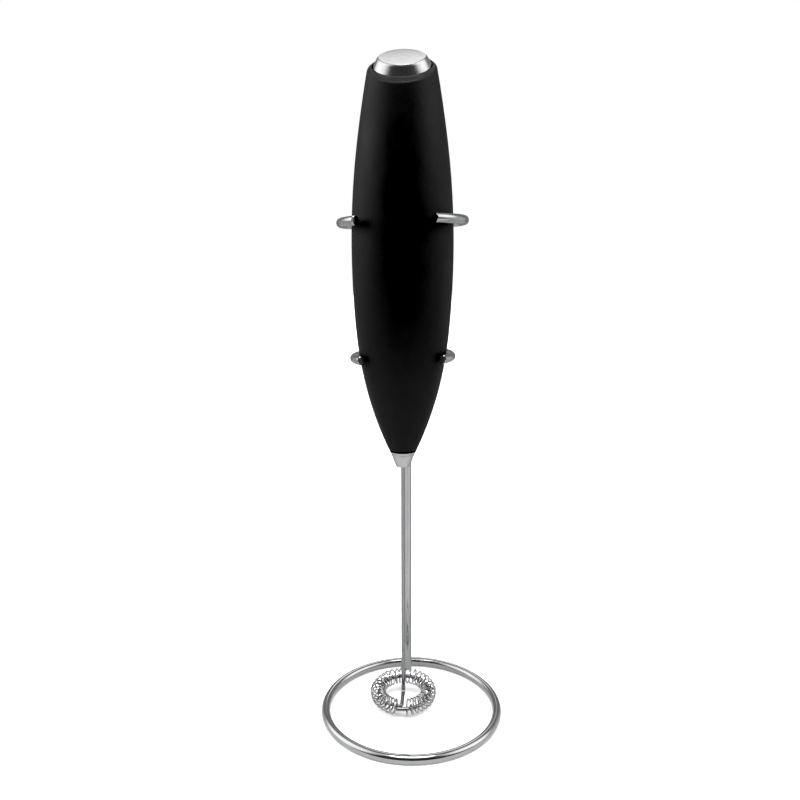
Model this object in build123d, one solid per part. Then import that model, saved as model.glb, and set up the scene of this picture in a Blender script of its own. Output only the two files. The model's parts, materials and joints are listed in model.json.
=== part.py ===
from build123d import *
import math
import os

# A battery milk frother standing in its bent-wire stand.
# Millimetres, +Z up, front towards -Y. The origin is the centre of the stand's base ring,
# on the surface that the ring rests on. The frother's own pieces are drawn round the Z axis
# and moved to the frother's axis when they are stored.

# ---------------------------------------------------------------- driving dimensions: stand

WIRE = 3.2                      # stand wire diameter
WELD = 0.1                      # how far two welded wires sink into each other
BASE_RING_R = 32.2              # centreline radius of the base ring
BASE_RING_GAP_DEG = 0.9         # opening between the ring's two butted ends
UPRIGHT_X = -3.33               # the upright is welded a little left of the ring's centre
UPRIGHT_FOOT_Z = 0.2
UPRIGHT_TOP_Z = 184.0
UPPER_CLIP_Z = 180.6
UPPER_CLIP_R = 21.2             # centreline radius
UPPER_CLIP_ENDS = (42, 34)      # where its left and right ends stop, in degrees from the front
LOWER_CLIP_Z = 133.9
LOWER_CLIP_R = 17.1
LOWER_CLIP_ENDS = (51, 56)
CLIP_TILT = 1.2                 # both clips were welded a little askew, their left side lower

# ---------------------------------------------------------------- handle and battery cover

WALL = 1.6
TOP_SLANT = 32                  # the handle's top faces forward by this angle
TOP_Z = 231.4                   # height of the slanted top on the axis
TOP_DECK = 1.8                  # thickness of the slanted top
TOP_ROUND = 1.1
BUTTON_HOLE_R = 10.2
HANDLE_BOTTOM_Z = 100.2
HANDLE_OUTLINE = [              # radius and height along the handle, bottom to top
    (5.1, HANDLE_BOTTOM_Z), (8.39, 108), (11.45, 117), (14.94, 132), (17.05, 152),
    (17.66, 169), (16.4, 198), (13.5, 220), (10.43, 236.5), (8.88, 243)]
CAVITY_START = (4.4, 103.2)     # the hollow's radius and height at its lower end
MOUTH_R = 3.2                   # hole for the nose in the handle's lower end
BOSS_R = 2.6                    # bosses that take the tray's screws
BOSS_LENGTH = 8.0
PILOT_R = 0.9
PILOT_DEPTH = 4.4

COVER_SPLIT_Y = 6.5             # the battery cover is the part of the wall behind this plane
COVER_BOTTOM_Z = 138.0
COVER_GAP = 0.15
RIB_X = 8.0                     # two ribs inside the cover keep the cells seated
RIB_THICK = 1.2
RIB_FRONT_Y = 8.7
RIB_INSET = 6.0                 # the ribs stop this far short of the cells' ends
TONGUE_HALF_WIDTH = 7.0         # a tongue under the cover's lower end slips behind the shell
TONGUE_THICK = 1.2
TONGUE_CLEAR = 0.2
TONGUE_DROP = 3.5
TONGUE_ROOT = 4.0
GROOVES = 5                     # thumb grooves near the cover's lower end
GROOVE_Z = 146.0
GROOVE_PITCH = 2.2
GROOVE_R = 0.8
GROOVE_LENGTH = 9.0
GROOVE_OUT = 0.35               # the grooves' centres lie this far outside the wall

# ---------------------------------------------------------------- button and switch

BUTTON_TOP_R = 8.45
BUTTON_RIM_R = 9.85
BUTTON_HEIGHT = 2.8             # how far it stands out of the slanted top
BUTTON_CHAMFER = 0.5
BUTTON_SKIRT = 8.2              # how far the skirt hangs below the rim, measured on the axis
BUTTON_SKIN = 0.7
INSERT_BELOW = 3.4              # the plastic insert hangs this far below the skirt
SPRING_POCKET = (10.0, 8.4, 5.4)    # hollow under the insert: along X, along Y and high
EAR_REACH = 10.9                # two ears under the retainer keep the button in
EAR_ROOT = 8.0
EAR_WIDTH = 5.0
EAR_CLEAR = 0.3
RETAINER_Z = 221.8
RETAINER_THICK = 1.6
RETAINER_R = 11.2

STEM_R = 1.5
STEM_TIP_R = 0.5
STEM_TIP_LENGTH = 1.0
STEM_FOOT_Z = 204.3
STEM_ROOT = 6.0                 # the stem runs this far up into the insert
STEM_CLEAR = 0.3
BRIDGE_TOP_Z = 208.5
BRIDGE_SIZE = (9.0, 11.2)       # along X and along Y
BRIDGE_WALL = 1.4
BRIDGE_ROOF = 1.5
SPRING_R = 3.2
SPRING_WIRE_R = 0.25
SPRING_TURNS = 8

LEAF_Z = 203.2                  # underside of the switch leaf
LEAF_THICK = 0.25
LEAF_WIDTH = 4.0
LEAF_REACH = 7.5                # the leaf's root and tip are this far either side of the axis
LEAF_EYE_R = 0.45               # its root is rolled into an eye, which turns in the post
LEAF_EYE_CLEAR = 0.1
LEAF_POST_LENGTH = 2.2
LEAF_POST_ABOVE = 0.9           # how far the post stands above the leaf's underside
POINT_X = 6.0                   # contact point under the leaf and the pad below it
POINT_R = 0.9
POINT_HEIGHT = 0.25
PAD_R = 1.4
PAD_HEIGHT = 0.2

# ---------------------------------------------------------------- batteries, tray and contacts

CELL_R = 7.1                    # AA cell
CELL_LENGTH = 49.0
CELL_ROUND = 0.5
CELL_NUB_R = 2.7
CELL_NUB_HEIGHT = 1.3
CELL_X = 7.2
CELL_Z = 148.2                  # lower end of both cells
CELL_TOUCH = 0.02               # gap between a cell and its contact

TRAY_FLOOR_Z = 143.4
TRAY_PLATE = 1.5
TRAY_TOP_Z = 200.4              # underside of the tray's top plate
TRAY_BACK_Y = 8.0
TRAY_SPINE_Y = -9.2
TRAY_SPINE_THICK = 1.4
TRAY_SPINE_HALF_WIDTH = 8.0
TRAY_FIT = 0.15                 # gap between the tray and the wall
KEEL_THICK = 1.2                # rib of the tray between the cells
KEEL_BACK_Y = -4.6
TERMINAL_SLOT = (1.0, 3.4)      # slots in the tray's floor for the motor's terminals

SCREW_HEIGHTS = (160.0, 186.0)
SCREW_HEAD_R = 2.0
SCREW_HEAD = 1.4
SCREW_SHANK_R = 0.85
SCREW_LENGTH = 5.6
SCREW_POCKET_R = 2.5
SCREW_POCKET_DEPTH = 3.8
SCREW_HOLE_R = 1.1
SCREW_SLOT = (2.6, 1.2, 0.5)    # driver slot: long, deep and wide

CONTACT_PLATE = 0.4
LOWER_CONTACT_HALF = 5.0        # half the width of the lower contact plates
UPPER_CONTACT_HALF = 4.0
BUMP_R = (3.2, 2.2)             # pressed bump of a contact plate, at its foot and its top
LOWER_COIL = (4, 4.6, -0.7, 0.3)    # turns, first radius, change per turn, wire radius
UPPER_COIL = (3, 2.6, 0.7, 0.25)
UPPER_COIL_PITCH = 0.45

# ---------------------------------------------------------------- motor, mount and nose

MOTOR_Z = 118.5
MOTOR_R = 10.0
MOTOR_FLAT = 7.6                # half thickness across the can's flats
MOTOR_CAN_LENGTH = 20.0
MOTOR_WALL = 0.8
MOTOR_FLOOR = 1.0
MOTOR_EDGE = 0.9
MOTOR_BOSS_R = 3.0
MOTOR_BOSS = 1.6                # the boss stands this far out of the can
MOTOR_SHAFT_R = 1.0
SHAFT_TAIL = 3.2                # the motor's shaft runs this far past the can's top
FRONT_BUSH_R = 2.4
REAR_BUSH_R = 2.0
REAR_BUSH = (1.6, 3.4)          # its lower and upper end above the can's top
END_BELL_LENGTH = 4.4
BELL_POCKET = (12.0, 8.0, 1.5)
TERMINAL_X = 8.2                # the two terminals stand this far either side of the axis
TERMINAL_SIZE = (0.6, 2.8)
TERMINAL_START = 2.0            # their lower ends, above the can's top
MAGNET_INNER_R = 6.9
MAGNET_FRONT_X = 4.2
MAGNET_HALF_WIDTH = 5.6
MAGNET_ENDS = (2.5, 3.5)        # distance from the can's bottom and top
BRUSH_Y = 3.25
BRUSH_SIZE = (8.0, 1.2, 1.2)
BRUSH_DROP = 1.6                # the brushes lie this far below the can's top

CORE_R = 6.3
CORE_ENDS = (4.0, 6.5)          # distance from the can's bottom and top
CORE_SLOT = (3.2, 7.0, 1.8)     # each slot's inner and outer radius and its width
WINDING_X = 3.6
WINDING_SIZE = (2.6, 6.4, 1.2)
POLES = 3
COMMUTATOR_R = 2.6
COMMUTATOR_ABOVE_CORE = 1.4
COMMUTATOR_TOP = 0.8            # above the can's top

MOUNT_R = 9.3
MOUNT_HOLE_R = 3.1
MOUNT_THICK = 1.6
MOUNT_ARM = (5.2, 0.1, 1.5)     # each arm's width, its gap to the can's flat and its outer face
MOUNT_SCREW_X = 6.5
MOUNT_SCREW_CLEAR_R = 1.0
CAN_SCREW_R = 0.85
MOTOR_SCREW_HEAD = (1.5, 1.1)   # radius and height
MOTOR_SCREW_SHANK = (0.8, 2.6)
MOTOR_SCREW_SLOT = (2.0, 0.4, 0.8)
MOUNT_FIT = 0.1

SEAL_RADII = (4.9, 3.3)
NOSE_TOP_Z = 99.55
NOSE_BOTTOM_Z = 93.7
NOSE_TOP_R = 4.7
NOSE_BOTTOM_R = 2.45
NOSE_ROUND = 0.7
SPIGOT_R = 3.15
SPIGOT_ABOVE = 1.6              # the nose's spigot stands this far above the cavity's floor
NOSE_BUSH_R = 1.7
NOSE_BUSH_LIFT = 0.4
NOSE_BUSH_ABOVE = 1.2

# ---------------------------------------------------------------- whisk

SHAFT_R = 0.75                  # whisk wire
SHAFT_TOP_Z = 111.0
SHAFT_GAP = 0.1                 # between the whisk's shaft and the motor's, in the coupling
COUPLING_R = 2.3
COUPLING_GRIP = 4.8             # length that grips the whisk's shaft
COUPLING_BELOW_MOTOR = 2.6
RUNNING_FIT = 0.05              # radial clearance between a shaft and its bush
WHISK_Z = 4.45                  # height of the hoop's centre
WHISK_R = 9.7                   # centreline radius of the hoop
WHISK_TILT = 5                  # the hoop droops at the front
WHISK_BEND_R = 1.8
COIL_R = 2.75                   # centreline radius of one turn of the coil
COIL_WIRE_R = 0.32
COIL_TURNS = 34
COIL_GAP_DEG = 20               # the coil leaves the front of the hoop bare

# ---------------------------------------------------------------- derived places

WIRE_R = WIRE / 2
UPRIGHT_Y = math.sqrt((BASE_RING_R - WIRE + WELD) ** 2 - UPRIGHT_X ** 2)
UPRIGHT_DISTANCE = UPPER_CLIP_R + WIRE - WELD      # from the frother's axis to the upright
FROTHER_AXIS = Pos(UPRIGHT_X, UPRIGHT_Y - UPRIGHT_DISTANCE, 0)
SLANT = math.radians(TOP_SLANT)
TOP_PLANE = Plane(origin=(0, 0, TOP_Z), x_dir=(1, 0, 0),
                  z_dir=(0, -math.sin(SLANT), math.cos(SLANT)))
SKIRT_Z = TOP_Z - BUTTON_SKIRT
INSERT_Z = SKIRT_Z - INSERT_BELOW
TRAY_DECK_Z = TRAY_TOP_Z + TRAY_PLATE
LEAF_EYE_Z = LEAF_Z + LEAF_THICK / 2
CELL_TOP_Z = CELL_Z + CELL_LENGTH + CELL_NUB_HEIGHT
CAN_TOP_Z = MOTOR_Z + MOTOR_CAN_LENGTH
MOUNT_Z = MOTOR_Z - MOUNT_THICK
CORE_Z = (MOTOR_Z + CORE_ENDS[0], CAN_TOP_Z - CORE_ENDS[1])

ON_AXIS = (Align.CENTER, Align.CENTER, Align.MIN)
TOWARDS_FRONT = Rot(90, 0, 0)    # turns a shape's +Z to -Y
TOWARDS_BACK = Rot(-90, 0, 0)
FAR = 60                         # past every side of the frother
SKY = 260                        # above it
MARGIN = 1                       # how far a cutting shape runs past what it cuts

pieces = {}


def keep(name, shape):
    """Store a piece of the stand, which is drawn where it stands."""
    pieces[name] = shape


def keep_frother(name, shape):
    """Store a piece of the frother, moved from the Z axis to the frother's axis."""
    pieces[name] = FROTHER_AXIS * shape


# ---------------------------------------------------------------- shape helpers

def group(shapes):
    """Separate solids kept together as one piece's file."""
    return Compound([solid for shape in shapes for solid in shape.solids()])


def rod(radius, z_low, z_high):
    """A round bar on the Z axis."""
    return Pos(0, 0, z_low) * Cylinder(radius, z_high - z_low, align=ON_AXIS)


def tube(outer, inner, z_low, z_high):
    """A round tube on the Z axis."""
    return rod(outer, z_low, z_high) - rod(inner, z_low - MARGIN, z_high + MARGIN)


def pin(radius, length, place, turn):
    """A round bar from a place, along the direction that turn gives to +Z."""
    return Pos(*place) * turn * Cylinder(radius, length, align=ON_AXIS)


def block(x_low, x_high, y_low, y_high, z_low, z_high):
    """A box between two corners."""
    size = (x_high - x_low, y_high - y_low, z_high - z_low)
    return Pos(x_low, y_low, z_low) * Box(*size, align=(Align.MIN, Align.MIN, Align.MIN))


def slab(x_size, y_size, z_low, z_high, x_middle=0):
    """A box centred on the Z axis, or beside it along X."""
    return Pos(x_middle, 0, z_low) * Box(x_size, y_size, z_high - z_low, align=ON_AXIS)


def behind(y, z_low, z_high):
    """All the space behind an upright plane, between two heights."""
    return block(-FAR, FAR, y, FAR, z_low, z_high)


def cone(bottom_radius, top_radius, z_low, z_high):
    """A truncated cone on the Z axis."""
    return Pos(0, 0, z_low) * Cone(bottom_radius, top_radius, z_high - z_low, align=ON_AXIS)


def bent_wire(path, radius):
    """Round wire along a path, cut square at both ends."""
    section = Plane(origin=path @ 0, z_dir=path % 0) * Circle(radius)
    return sweep(section, path=path)


def handle_of_revolution(points):
    """The solid of revolution inside an outline of (radius, height) points."""
    low, high = points[0], points[-1]
    edge = Spline(*[(r, 0, z) for r, z in points])
    foot = Line((0, 0, low[1]), (low[0], 0, low[1]))
    head = Line((high[0], 0, high[1]), (0, 0, high[1]))
    axis = Line((0, 0, high[1]), (0, 0, low[1]))
    return revolve(make_face([foot, edge, head, axis]), Axis.Z)


def inside_wall(depth):
    """The handle's solid shrunk inwards by depth, above its first outline point."""
    return handle_of_revolution([(r - depth, z) for r, z in HANDLE_OUTLINE[1:]])


def outline_radius(height):
    """The handle's radius at a height, straight between the outline's points."""
    for (low_r, low_z), (high_r, high_z) in zip(HANDLE_OUTLINE, HANDLE_OUTLINE[1:]):
        if low_z <= height <= high_z:
            return low_r + (high_r - low_r) * (height - low_z) / (high_z - low_z)
    raise ValueError("no wall at this height")


def above_top(depth):
    """Everything above the slanted top, lowered along its own normal by depth."""
    return TOP_PLANE * Pos(0, 0, -depth) * Box(2 * FAR, 2 * FAR, FAR, align=ON_AXIS)


def upright_from_slant(radius, down, up):
    """A circle of the slanted top carried straight down and up, parallel to the handle."""
    disc = Pos(0, 0, -down) * (TOP_PLANE * Circle(radius))
    return extrude(disc, amount=down + up, dir=(0, 0, 1))


# ---------------------------------------------------------------- wire stand

def keep_clip(name, path, height):
    """An open hoop of stand wire round the frother's axis, at a height and slightly askew."""
    keep_frother(name, Pos(0, 0, height) * Rot(0, -CLIP_TILT, 0) * bent_wire(path, WIRE_R))


def build_stand():
    weld_angle = math.degrees(math.atan2(UPRIGHT_Y, UPRIGHT_X))
    ring_path = CenterArc((0, 0, WIRE_R), BASE_RING_R,
                          weld_angle + BASE_RING_GAP_DEG / 2, 360 - BASE_RING_GAP_DEG)
    keep("stand_base_ring", bent_wire(ring_path, WIRE_R))
    keep("stand_upright", Pos(UPRIGHT_X, UPRIGHT_Y, 0) * rod(WIRE_R, UPRIGHT_FOOT_Z, UPRIGHT_TOP_Z))

    left, right = UPPER_CLIP_ENDS
    upper_path = CenterArc((0, 0, 0), UPPER_CLIP_R, right - 90, 360 - left - right)
    keep_clip("stand_upper_clip", upper_path, UPPER_CLIP_Z)

    # The lower clip hugs the taper at the sides and runs back to the same upright.
    left, right = LOWER_CLIP_ENDS
    right_arm = CenterArc((0, 0, 0), LOWER_CLIP_R, right - 90, 90 - right)
    back = EllipticalCenterArc((0, 0, 0), LOWER_CLIP_R, UPPER_CLIP_R, start_angle=0, arc_size=180)
    left_arm = CenterArc((0, 0, 0), LOWER_CLIP_R, 180, 90 - left)
    keep_clip("stand_lower_clip", Wire([right_arm, back, left_arm]), LOWER_CLIP_Z)


# ---------------------------------------------------------------- handle shell and cover

def hollow():
    """The space inside the handle, under the slanted deck."""
    inner = [CAVITY_START] + [(r - WALL, z) for r, z in HANDLE_OUTLINE[1:]]
    return handle_of_revolution(inner) - above_top(TOP_DECK)


def whole_shell():
    """The handle's wall all round, before the battery cover is parted from it."""
    body = handle_of_revolution(HANDLE_OUTLINE) - above_top(0)
    rim = body.edges().sort_by(Axis.Z)[-1]
    body = fillet(rim, TOP_ROUND)
    body -= hollow()
    body -= rod(MOUTH_R, HANDLE_BOTTOM_Z - MARGIN, CAVITY_START[1] + MARGIN)
    return body - upright_from_slant(BUTTON_HOLE_R, BUTTON_HOLE_R + TOP_DECK, BUTTON_HOLE_R)


def build_shell():
    inside = hollow()
    front = whole_shell() - behind(COVER_SPLIT_Y, COVER_BOTTOM_Z, SKY)
    for height in SCREW_HEIGHTS:
        foot = (0, TRAY_SPINE_Y, height)
        front += pin(BOSS_R, BOSS_LENGTH, foot, TOWARDS_FRONT) & inside
        front -= pin(PILOT_R, PILOT_DEPTH, foot, TOWARDS_FRONT)
    keep_frother("handle_shell", front)


def build_cover():
    inside = hollow()
    low = COVER_BOTTOM_Z + COVER_GAP
    cover = behind(COVER_SPLIT_Y + COVER_GAP, low, SKY) & whole_shell()
    for x in (-RIB_X, RIB_X):
        rib = block(x - RIB_THICK / 2, x + RIB_THICK / 2, RIB_FRONT_Y, FAR,
                    CELL_Z + RIB_INSET, CELL_Z + CELL_LENGTH - RIB_INSET)
        cover += rib & inside

    core = inside_wall(WALL + TONGUE_CLEAR + TONGUE_THICK)
    strip = block(-TONGUE_HALF_WIDTH, TONGUE_HALF_WIDTH, COVER_SPLIT_Y, FAR,
                  COVER_BOTTOM_Z - TONGUE_DROP, low + TONGUE_ROOT)
    tongue = (inside_wall(WALL + TONGUE_CLEAR) - core) & strip
    root = (inside - core) & strip & behind(COVER_SPLIT_Y, low, SKY)
    cover += tongue + root
    for step in range(GROOVES):
        height = GROOVE_Z + GROOVE_PITCH * step
        out = outline_radius(height) + GROOVE_OUT
        cover -= Pos(0, out, height) * Rot(0, 90, 0) * Cylinder(GROOVE_R, GROOVE_LENGTH)
    keep_frother("battery_cover", cover)


# ---------------------------------------------------------------- button and switch

def build_button():
    cone_base = TOP_PLANE * Circle(BUTTON_RIM_R)
    cone_top = TOP_PLANE * Pos(0, 0, BUTTON_HEIGHT) * Circle(BUTTON_TOP_R)
    head = loft([cone_base, cone_top])
    top_edge = head.edges().sort_by(Axis((0, 0, 0), tuple(TOP_PLANE.z_dir)))[-1]
    head = chamfer(top_edge, BUTTON_CHAMFER)
    outside = head + extrude(cone_base, amount=BUTTON_SKIRT, dir=(0, 0, -1))

    inner_base = TOP_PLANE * Circle(BUTTON_RIM_R - BUTTON_SKIN)
    inner_top = TOP_PLANE * Pos(0, 0, BUTTON_HEIGHT - BUTTON_SKIN) * Circle(BUTTON_TOP_R - BUTTON_SKIN)
    inner = loft([inner_base, inner_top]) + extrude(inner_base, amount=2 * BUTTON_SKIRT, dir=(0, 0, -1))
    keep_frother("button_cap", outside - inner - slab(FAR, FAR, 0, SKIRT_Z))

    # The insert fills the cap and carries the stem and the two ears under the retainer.
    pocket_x, pocket_y, pocket_z = SPRING_POCKET
    body = (inner & slab(FAR, FAR, INSERT_Z, SKY)) - slab(pocket_x, pocket_y, 0, INSERT_Z + pocket_z)
    ears = slab(2 * EAR_REACH, EAR_WIDTH, INSERT_Z, RETAINER_Z - EAR_CLEAR)
    ears &= tube(EAR_REACH, EAR_ROOT, INSERT_Z, RETAINER_Z)
    stem = rod(STEM_R, STEM_FOOT_Z + STEM_TIP_LENGTH, INSERT_Z + STEM_ROOT)
    stem += cone(STEM_TIP_R, STEM_R, STEM_FOOT_Z, STEM_FOOT_Z + STEM_TIP_LENGTH)
    keep_frother("button_insert", body + ears + stem)

    # The retainer is a guide ring held in the shell, round the button's oval skirt.
    ring = rod(RETAINER_R, RETAINER_Z, RETAINER_Z + RETAINER_THICK) & hollow()
    keep_frother("button_retainer", ring - upright_from_slant(BUTTON_HOLE_R, FAR, BUTTON_HOLE_R))

    # A short compression spring round the stem, drawn as separate turns.
    low = BRIDGE_TOP_Z + SPRING_WIRE_R
    high = INSERT_Z + pocket_z - SPRING_WIRE_R
    turns = [Pos(0, 0, low + (high - low) * i / (SPRING_TURNS - 1)) * Torus(SPRING_R, SPRING_WIRE_R)
             for i in range(SPRING_TURNS)]
    keep_frother("button_spring", group(turns))


def build_switch():
    long, wide = BRIDGE_SIZE
    bridge = slab(long, wide, TRAY_DECK_Z, BRIDGE_TOP_Z)
    bridge -= slab(long + MARGIN, wide - 2 * BRIDGE_WALL, 0, BRIDGE_TOP_Z - BRIDGE_ROOF)
    keep_frother("switch_bridge", bridge - rod(STEM_R + STEM_CLEAR, TRAY_DECK_Z, SKY))

    side = LEAF_WIDTH / 2
    eye_place = (-LEAF_REACH, side, LEAF_EYE_Z)
    leaf = block(-LEAF_REACH, LEAF_REACH, -side, side, LEAF_Z, LEAF_Z + LEAF_THICK)
    leaf += pin(LEAF_EYE_R, LEAF_WIDTH, eye_place, TOWARDS_FRONT)
    leaf += pin(POINT_R, POINT_HEIGHT, (POINT_X, 0, LEAF_Z - POINT_HEIGHT), Rot(0, 0, 0))
    keep_frother("switch_leaf", leaf)

    post = block(-LEAF_REACH - LEAF_POST_LENGTH, -LEAF_REACH, -side, side,
                 TRAY_DECK_Z, LEAF_Z + LEAF_POST_ABOVE)
    keep_frother("leaf_post", post - pin(LEAF_EYE_R + LEAF_EYE_CLEAR, LEAF_WIDTH, eye_place, TOWARDS_FRONT))
    keep_frother("switch_pad", pin(PAD_R, PAD_HEIGHT, (POINT_X, 0, TRAY_DECK_Z), Rot(0, 0, 0)))


# ---------------------------------------------------------------- batteries and contacts

def build_tray():
    spine_back = TRAY_SPINE_Y + TRAY_SPINE_THICK
    floor_plate = slab(FAR, FAR, TRAY_FLOOR_Z, TRAY_FLOOR_Z + TRAY_PLATE)
    top_plate = slab(FAR, FAR, TRAY_TOP_Z, TRAY_DECK_Z)
    spine = block(-TRAY_SPINE_HALF_WIDTH, TRAY_SPINE_HALF_WIDTH, TRAY_SPINE_Y, spine_back,
                  TRAY_FLOOR_Z, TRAY_DECK_Z)
    keel = block(-KEEL_THICK / 2, KEEL_THICK / 2, TRAY_SPINE_Y, KEEL_BACK_Y, TRAY_FLOOR_Z, TRAY_DECK_Z)
    room = inside_wall(WALL + TRAY_FIT) - behind(TRAY_BACK_Y, 0, SKY)
    tray = (floor_plate + top_plate + spine + keel) & room
    for height in SCREW_HEIGHTS:
        pocket_start = (0, spine_back + SCREW_POCKET_DEPTH, height)
        tray -= pin(SCREW_POCKET_R, SCREW_POCKET_DEPTH, pocket_start, TOWARDS_FRONT)
        tray -= pin(SCREW_HOLE_R, TRAY_SPINE_THICK + 2 * MARGIN,
                    (0, TRAY_SPINE_Y - MARGIN, height), TOWARDS_BACK)
    for x in (-TERMINAL_X, TERMINAL_X):
        tray -= slab(*TERMINAL_SLOT, TRAY_FLOOR_Z - MARGIN, TRAY_FLOOR_Z + TRAY_PLATE + MARGIN, x)
    keep_frother("battery_tray", tray)

    screws = []
    for height in SCREW_HEIGHTS:
        head = pin(SCREW_HEAD_R, SCREW_HEAD, (0, spine_back, height), TOWARDS_BACK)
        slot = Pos(0, spine_back + SCREW_HEAD, height) * Box(*SCREW_SLOT)
        shank = pin(SCREW_SHANK_R, SCREW_LENGTH, (0, spine_back, height), TOWARDS_FRONT)
        screws.append(head - slot + shank)
    keep_frother("tray_screws", group(screws))


def build_cells():
    body = fillet(rod(CELL_R, 0, CELL_LENGTH).edges(), CELL_ROUND)
    cell = body + rod(CELL_NUB_R, CELL_LENGTH - CELL_ROUND, CELL_LENGTH + CELL_NUB_HEIGHT)
    keep_frother("battery_left", Pos(-CELL_X, 0, CELL_Z) * cell)
    keep_frother("battery_right", Pos(CELL_X, 0, CELL_TOP_Z) * Rot(180, 0, 0) * cell)


def contact_coil(coil, x, z_low, pitch):
    """A conical contact spring, drawn as separate turns."""
    turns, radius, change, wire = coil
    return [Pos(x, 0, z_low + pitch * i) * Torus(radius + change * i, wire) for i in range(turns)]


def build_contacts():
    floor = TRAY_FLOOR_Z + TRAY_PLATE
    plate_top = floor + CONTACT_PLATE
    lower_size = 2 * LOWER_CONTACT_HALF
    turns, wire = LOWER_COIL[0], LOWER_COIL[3]
    coil_low = plate_top + wire
    pitch = (CELL_Z - wire - CELL_TOUCH - coil_low) / (turns - 1)
    lower_plate = slab(lower_size, lower_size, floor, plate_top, -CELL_X)
    keep_frother("lower_spring_contact",
                 group([lower_plate] + contact_coil(LOWER_COIL, -CELL_X, coil_low, pitch)))

    lower_pad = slab(lower_size, lower_size, floor, plate_top, CELL_X)
    bump = Pos(CELL_X, 0, 0) * cone(*BUMP_R, plate_top, CELL_Z - CELL_TOUCH)
    keep_frother("lower_pad_contact", lower_pad + bump)

    plate_low = TRAY_TOP_Z - CONTACT_PLATE
    upper_size = (2 * UPPER_CONTACT_HALF, 2 * LOWER_CONTACT_HALF)
    upper_pad = slab(*upper_size, plate_low, TRAY_TOP_Z, -CELL_X)
    dimple = Pos(-CELL_X, 0, 0) * cone(BUMP_R[1], BUMP_R[0], CELL_TOP_Z + CELL_TOUCH, plate_low)
    keep_frother("upper_pad_contact", upper_pad + dimple)

    upper_plate = slab(*upper_size, plate_low, TRAY_TOP_Z, CELL_X)
    coil_low = CELL_TOP_Z + UPPER_COIL[3] + CELL_TOUCH
    keep_frother("upper_spring_contact",
                 group([upper_plate] + contact_coil(UPPER_COIL, CELL_X, coil_low, UPPER_COIL_PITCH)))


# ---------------------------------------------------------------- motor and nose

def motor_outline(inset, z_low, z_high):
    """The motor's round outline with two flats, drawn in by inset."""
    return rod(MOTOR_R - inset, z_low, z_high) & slab(FAR, 2 * (MOTOR_FLAT - inset), z_low, z_high)


def build_motor():
    can = fillet(motor_outline(0, MOTOR_Z, CAN_TOP_Z).faces().sort_by(Axis.Z)[0].edges(), MOTOR_EDGE)
    can -= motor_outline(MOTOR_WALL, MOTOR_Z + MOTOR_FLOOR, CAN_TOP_Z + MARGIN)
    can += rod(MOTOR_BOSS_R, MOTOR_Z - MOTOR_BOSS, MOTOR_Z + MOTOR_FLOOR)
    can -= rod(FRONT_BUSH_R, 0, MOTOR_Z + MOTOR_FLOOR + MARGIN)
    for x in (-MOUNT_SCREW_X, MOUNT_SCREW_X):
        can -= Pos(x, 0, 0) * rod(CAN_SCREW_R, MOTOR_Z - MARGIN, MOTOR_Z + MOTOR_FLOOR + MARGIN)
    keep_frother("motor_can", can)
    bore = MOTOR_SHAFT_R + RUNNING_FIT
    keep_frother("motor_front_bush", tube(FRONT_BUSH_R, bore, MOTOR_Z - MOTOR_BOSS, MOTOR_Z + MOTOR_BOSS))

    rear_low, rear_high = (CAN_TOP_Z + z for z in REAR_BUSH)
    pocket_x, pocket_y, pocket_z = BELL_POCKET
    terminals = [slab(*TERMINAL_SIZE, CAN_TOP_Z + TERMINAL_START, TRAY_FLOOR_Z + TRAY_PLATE, x)
                 for x in (-TERMINAL_X, TERMINAL_X)]
    bell = motor_outline(0, CAN_TOP_Z, CAN_TOP_Z + END_BELL_LENGTH) - rod(REAR_BUSH_R, 0, rear_high)
    bell -= slab(pocket_x, pocket_y, 0, CAN_TOP_Z + pocket_z)
    keep_frother("motor_terminals", group(terminals))
    keep_frother("motor_end_bell", bell - terminals)
    keep_frother("motor_rear_bush", tube(REAR_BUSH_R, bore, rear_low, rear_high))

    magnet_ring = motor_outline(MOTOR_WALL, MOTOR_Z + MAGNET_ENDS[0], CAN_TOP_Z - MAGNET_ENDS[1])
    magnet_ring -= rod(MAGNET_INNER_R, 0, SKY)
    halves = [block(*span, -MAGNET_HALF_WIDTH, MAGNET_HALF_WIDTH, 0, SKY)
              for span in ((-FAR, -MAGNET_FRONT_X), (MAGNET_FRONT_X, FAR))]
    keep_frother("motor_magnets", group([magnet_ring & half for half in halves]))

    brush = Pos(0, 0, CAN_TOP_Z - BRUSH_DROP) * Box(*BRUSH_SIZE, align=ON_AXIS)
    keep_frother("motor_brushes", group([Pos(0, y, 0) * brush for y in (-BRUSH_Y, BRUSH_Y)]))


def build_motor_mount():
    base = rod(MOUNT_R, MOUNT_Z, MOTOR_Z) - rod(MOUNT_HOLE_R, 0, SKY)
    arm_width, arm_gap, arm_out = MOUNT_ARM
    arms = slab(arm_width, 2 * (MOTOR_FLAT + arm_out), MOUNT_Z, TRAY_FLOOR_Z)
    base += arms - slab(FAR, 2 * (MOTOR_FLAT + arm_gap), 0, SKY)
    for x in (-MOUNT_SCREW_X, MOUNT_SCREW_X):
        base -= Pos(x, 0, 0) * rod(MOUNT_SCREW_CLEAR_R, 0, SKY)
    keep_frother("motor_mount", base & inside_wall(WALL + MOUNT_FIT))

    head_r, head_height = MOTOR_SCREW_HEAD
    shank_r, shank_length = MOTOR_SCREW_SHANK
    head_z = MOUNT_Z - head_height
    screw = rod(head_r, head_z, MOUNT_Z) - Pos(0, 0, head_z) * Box(*MOTOR_SCREW_SLOT)
    screw += rod(shank_r, MOUNT_Z, MOUNT_Z + shank_length)
    keep_frother("motor_screws", group([Pos(x, 0, 0) * screw for x in (-MOUNT_SCREW_X, MOUNT_SCREW_X)]))


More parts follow.
